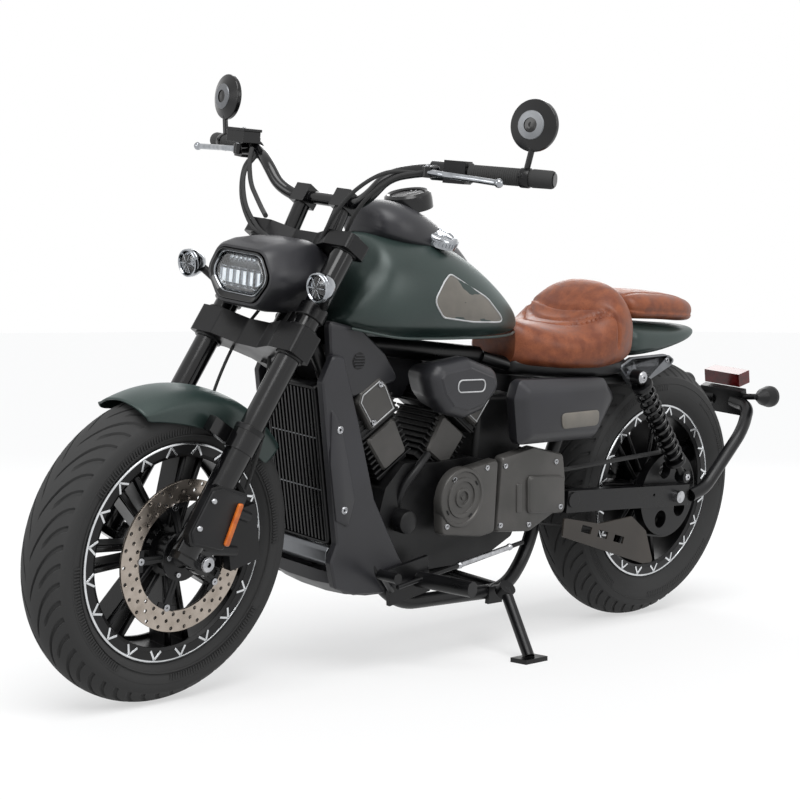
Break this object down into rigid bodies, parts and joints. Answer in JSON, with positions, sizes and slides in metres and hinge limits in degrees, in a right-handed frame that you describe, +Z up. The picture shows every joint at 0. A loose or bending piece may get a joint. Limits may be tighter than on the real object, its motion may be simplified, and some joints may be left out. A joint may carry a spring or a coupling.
{
  "type": "cruiser motorcycle",
  "caption": "Low cruiser motorcycle with a V-twin engine, belt drive, leather solo and pad seats, and cast wheels, leaning on its side stand.",
  "frame": {"origin": "middle of the parked motorcycle's footprint, on the ground", "axes": "+X towards the front wheel along the machine, +Y to the rider's left, the side it leans to, +Z up from the ground"},
  "size_m": [2.1569, 0.9885, 1.2914],
  "materials": {
    "tyre_rubber": "matt",
    "rim_black": "satin",
    "disc_steel": "machined",
    "pulley_alloy": "cast",
    "fork_black": "satin",
    "bar_black": "satin",
    "grip_rubber": "ribbed",
    "switch_plastic": "moulded",
    "lever_chrome": "polished",
    "mirror_black": "satin",
    "cowl_grey": "satin",
    "lamp_lens": "clear",
    "green_paint": "satin metallic",
    "guard_black": "moulded",
    "caliper_alloy": "satin",
    "hose_rubber": "matt",
    "frame_black": "satin",
    "shock_steel": "satin",
    "belt_rubber": "matt",
    "guard_bronze": "satin",
    "engine_black": "painted",
    "cover_grey": "satin",
    "exhaust_steel": "satin",
    "radiator_alloy": "matt",
    "seat_leather": "stitched",
    "strut_silver": "satin",
    "tail_red": "gloss"
  },
  "bodies": {
    "chassis": {"frame": "frame_black", "swingarm": "frame_black", "rear_axle": "lever_chrome", "rear_shocks": "shock_steel", "drive_belt": "belt_rubber", "belt_guard": "guard_bronze", "crankcase": "engine_black", "engine_covers": "cover_grey", "cylinders": "engine_black", "intake_cover": "cover_grey", "exhaust": "exhaust_steel", "radiator": "radiator_alloy", "radiator_shroud": "cowl_grey", "neck_covers": "cover_grey", "fuel_tank": "green_paint", "tank_console": "cowl_grey", "instrument": "switch_plastic", "fuel_cap": "lever_chrome", "rider_seat": "seat_leather", "pillion_seat": "seat_leather", "tail_cowl": "green_paint", "fender_struts": "strut_silver", "side_covers": "cowl_grey", "plate_holder": "guard_black", "tail_lamp": "tail_red", "rear_indicators": "switch_plastic", "foot_controls": "guard_black", "rear_caliper": "caliper_alloy"},
    "steering": {"fork_legs": "fork_black", "fork_yokes": "fork_black", "handlebar": "bar_black", "grips": "grip_rubber", "switch_housings": "switch_plastic", "levers": "lever_chrome", "mirrors": "mirror_black", "headlight_cowl": "cowl_grey", "headlight": "lamp_lens", "front_indicators": "lever_chrome", "front_fender": "green_paint", "fork_guards": "guard_black", "front_caliper": "caliper_alloy", "front_axle": "lever_chrome", "brake_hose": "hose_rubber"},
    "front_wheel": {"front_tyre": "tyre_rubber", "front_rim": "rim_black", "front_disc": "disc_steel"},
    "rear_wheel": {"rear_tyre": "tyre_rubber", "rear_rim": "rim_black", "rear_disc": "disc_steel", "rear_pulley": "pulley_alloy"},
    "side_stand": {"side_stand": "frame_black"}
  },
  "joints": [
    {"name": "steering", "type": "hinge", "parent": "chassis", "child": "steering", "pos_m": [0.75033, -0.09639, 0.29199], "axis": [-0.5146, 0.0971, 0.8519], "range_deg": [-35.5, 28.5]},
    {"name": "front_wheel_spin", "type": "hinge", "parent": "steering", "child": "front_wheel", "pos_m": [0.77172, -0.09342, 0.30457], "axis": [-0.0523, 0.9882, -0.1442], "continuous": true},
    {"name": "rear_wheel_spin", "type": "hinge", "parent": "chassis", "child": "rear_wheel", "pos_m": [-0.70023, -0.09281, 0.32342], "axis": [0, 0.9936, -0.1132], "continuous": true},
    {"name": "side_stand_fold", "type": "hinge", "parent": "chassis", "child": "side_stand", "pos_m": [-0.09032, 0.02712, 0.13934], "axis": [0.0004, 0.6994, 0.7148], "range_deg": [0, 92]}
  ]
}
